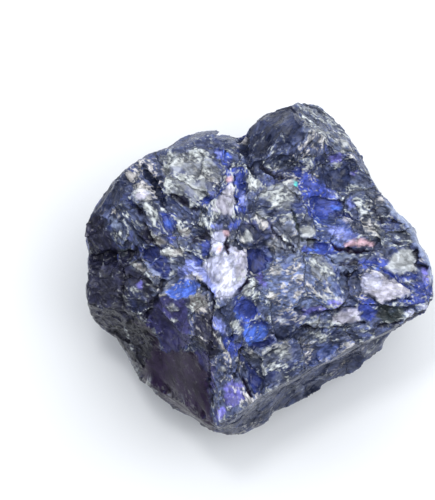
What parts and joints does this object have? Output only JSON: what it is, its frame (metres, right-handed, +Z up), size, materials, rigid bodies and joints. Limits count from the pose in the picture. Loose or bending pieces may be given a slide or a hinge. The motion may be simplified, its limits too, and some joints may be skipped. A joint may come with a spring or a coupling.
{
  "type": "rough sapphire",
  "caption": "Rough, uncut sapphire: a broken chunky lump of dark blue crystal with a hackly broad face, a notch in its top edge, a smooth cleaved face, and a flat parting face to lie on.",
  "frame": {"origin": "on the flat parting face that the stone lies on, under the middle of its outline", "axes": "+Z up out of the broad hackly face, +Y towards the peak and the notch, +X towards the right corner of the long straight edge"},
  "size_m": [0.0348, 0.0334, 0.0212],
  "materials": {
    "sapphire": "glassy broken crystal: near-black navy with ultramarine, lavender and silver-grey facets"
  },
  "bodies": {
    "root": {"sapphire_stone": "sapphire"}
  },
  "joints": []
}
